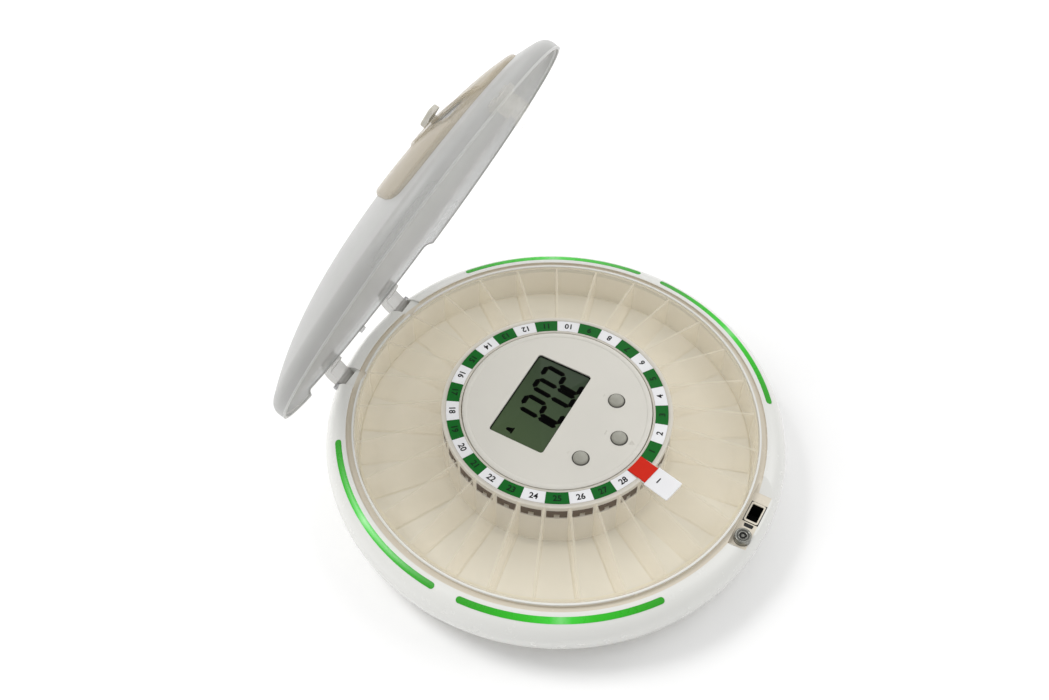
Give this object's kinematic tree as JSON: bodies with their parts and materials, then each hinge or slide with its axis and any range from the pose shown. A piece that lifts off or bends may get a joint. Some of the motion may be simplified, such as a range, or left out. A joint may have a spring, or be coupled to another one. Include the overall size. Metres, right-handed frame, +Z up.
{
  "type": "automatic pill dispenser",
  "caption": "Round tabletop pill dispenser with a turning tray of compartments, a display and buttons in the middle, light strips, a lock and a hinged frosted lid.",
  "frame": {"origin": "on the table under the axis of the turning tray", "axes": "+Z up along the tray's axis, lock and front at -Y, lid hinge at +Y"},
  "size_m": [0.2244, 0.2281, 0.2288],
  "materials": {
    "housing": "satin",
    "panel": "satin",
    "rubber": "matte",
    "steel": "satin",
    "lock_metal": "polished",
    "inner_plastic": "matte",
    "cell": "satin",
    "light_green": "gloss",
    "board_green": "satin",
    "led_white": "gloss",
    "display_clear": "gloss",
    "display_glass": "gloss",
    "black_plastic": "satin",
    "button_grey": "satin",
    "tray_clear": "satin",
    "gear_plastic": "satin",
    "label_green": "satin",
    "label_white": "satin",
    "label_red": "satin",
    "lid_frosted": "satin"
  },
  "bodies": {
    "base": {"bottom_housing": "housing", "rim_ring": "housing", "tray_well": "housing", "hub_sleeve": "housing", "feet": "rubber", "housing_screws": "steel", "battery_box": "inner_plastic", "battery_cells": "cell", "battery_contacts": "steel", "light_strip_1": "light_green", "light_strip_2": "light_green", "light_strip_3": "light_green", "light_strip_4": "light_green", "led_boards": "board_green", "leds": "led_white", "control_panel": "panel", "display_window": "display_clear", "display_module": "display_glass", "main_board": "board_green", "board_screws": "steel", "button_switches": "black_plastic", "buzzer": "black_plastic", "home_sensor": "black_plastic", "gear_motor": "steel", "motor_bracket": "steel", "motor_screws": "steel", "latch_receiver": "black_plastic", "lock_barrel": "lock_metal", "hinge_pins": "steel"},
    "tray": {"tray_floor": "tray_clear", "tray_outer_wall": "tray_clear", "tray_inner_wall": "tray_clear", "tray_dividers": "tray_clear", "ring_gear": "gear_plastic", "home_magnet": "steel", "green_labels": "label_green", "white_labels": "label_white", "home_label": "label_red", "home_tab": "label_white"},
    "drive": {"drive_pinion": "gear_plastic"},
    "left_button": {"button_left": "button_grey"},
    "middle_button": {"button_middle": "button_grey"},
    "right_button": {"button_right": "button_grey"},
    "lid": {"lid_dome": "lid_frosted", "lid_rim": "lid_frosted", "lid_hinge_arms": "lid_frosted", "lid_latch": "lid_frosted", "door_guide": "lid_frosted"},
    "mouth_door": {"dispensing_door": "lid_frosted"},
    "lock": {"lock_rotor": "lock_metal"},
    "bolt": {"lock_bolt": "steel"},
    "cell_door": {"battery_door": "housing"}
  },
  "joints": [
    {"name": "tray_turn", "type": "hinge", "parent": "base", "child": "tray", "pos_m": [0, 0, 0.0135], "axis": [0, 0, 1], "continuous": true},
    {"name": "pinion_turn", "type": "hinge", "parent": "base", "child": "drive", "pos_m": [0.03685, 0, 0.0242], "axis": [0, 0, 1], "continuous": true},
    {"name": "left_press", "type": "slide", "parent": "base", "child": "left_button", "axis": [0, 0, -1], "range_m": [0, 0.0008], "stiffness_N_per_m": 600, "springref_m": -0.0008},
    {"name": "middle_press", "type": "slide", "parent": "base", "child": "middle_button", "axis": [0, 0, -1], "range_m": [0, 0.0008], "stiffness_N_per_m": 600, "springref_m": -0.0008},
    {"name": "right_press", "type": "slide", "parent": "base", "child": "right_button", "axis": [0, 0, -1], "range_m": [0, 0.0008], "stiffness_N_per_m": 600, "springref_m": -0.0008},
    {"name": "lid_turn", "type": "hinge", "parent": "base", "child": "lid", "pos_m": [0, 0.1066, 0.028], "axis": [-1, 0, 0], "range_deg": [-67.3, 27.7]},
    {"name": "mouth_door_slide", "type": "hinge", "parent": "lid", "child": "mouth_door", "pos_m": [0, 0.08576, 0.13483], "axis": [0, 0.9225, 0.3859], "range_deg": [-16, 0]},
    {"name": "lock_turn", "type": "hinge", "parent": "base", "child": "lock", "pos_m": [-0.0142, -0.1043, 0.03], "axis": [0, 0, -1], "range_deg": [0, 90]},
    {"name": "bolt_slide", "type": "slide", "parent": "base", "child": "bolt", "axis": [1, 0, 0], "range_m": [0, 0.00283]},
    {"name": "cell_door_slide", "type": "slide", "parent": "base", "child": "cell_door", "axis": [0, -1, 0], "range_m": [0, 0.006]}
  ],
  "couplings": [
    {"joint": "pinion_turn", "follows": "tray_turn", "ratio": 4.35},
    {"joint": "lock_turn", "follows": "bolt_slide", "rad_per_m": 555.3}
  ]
}
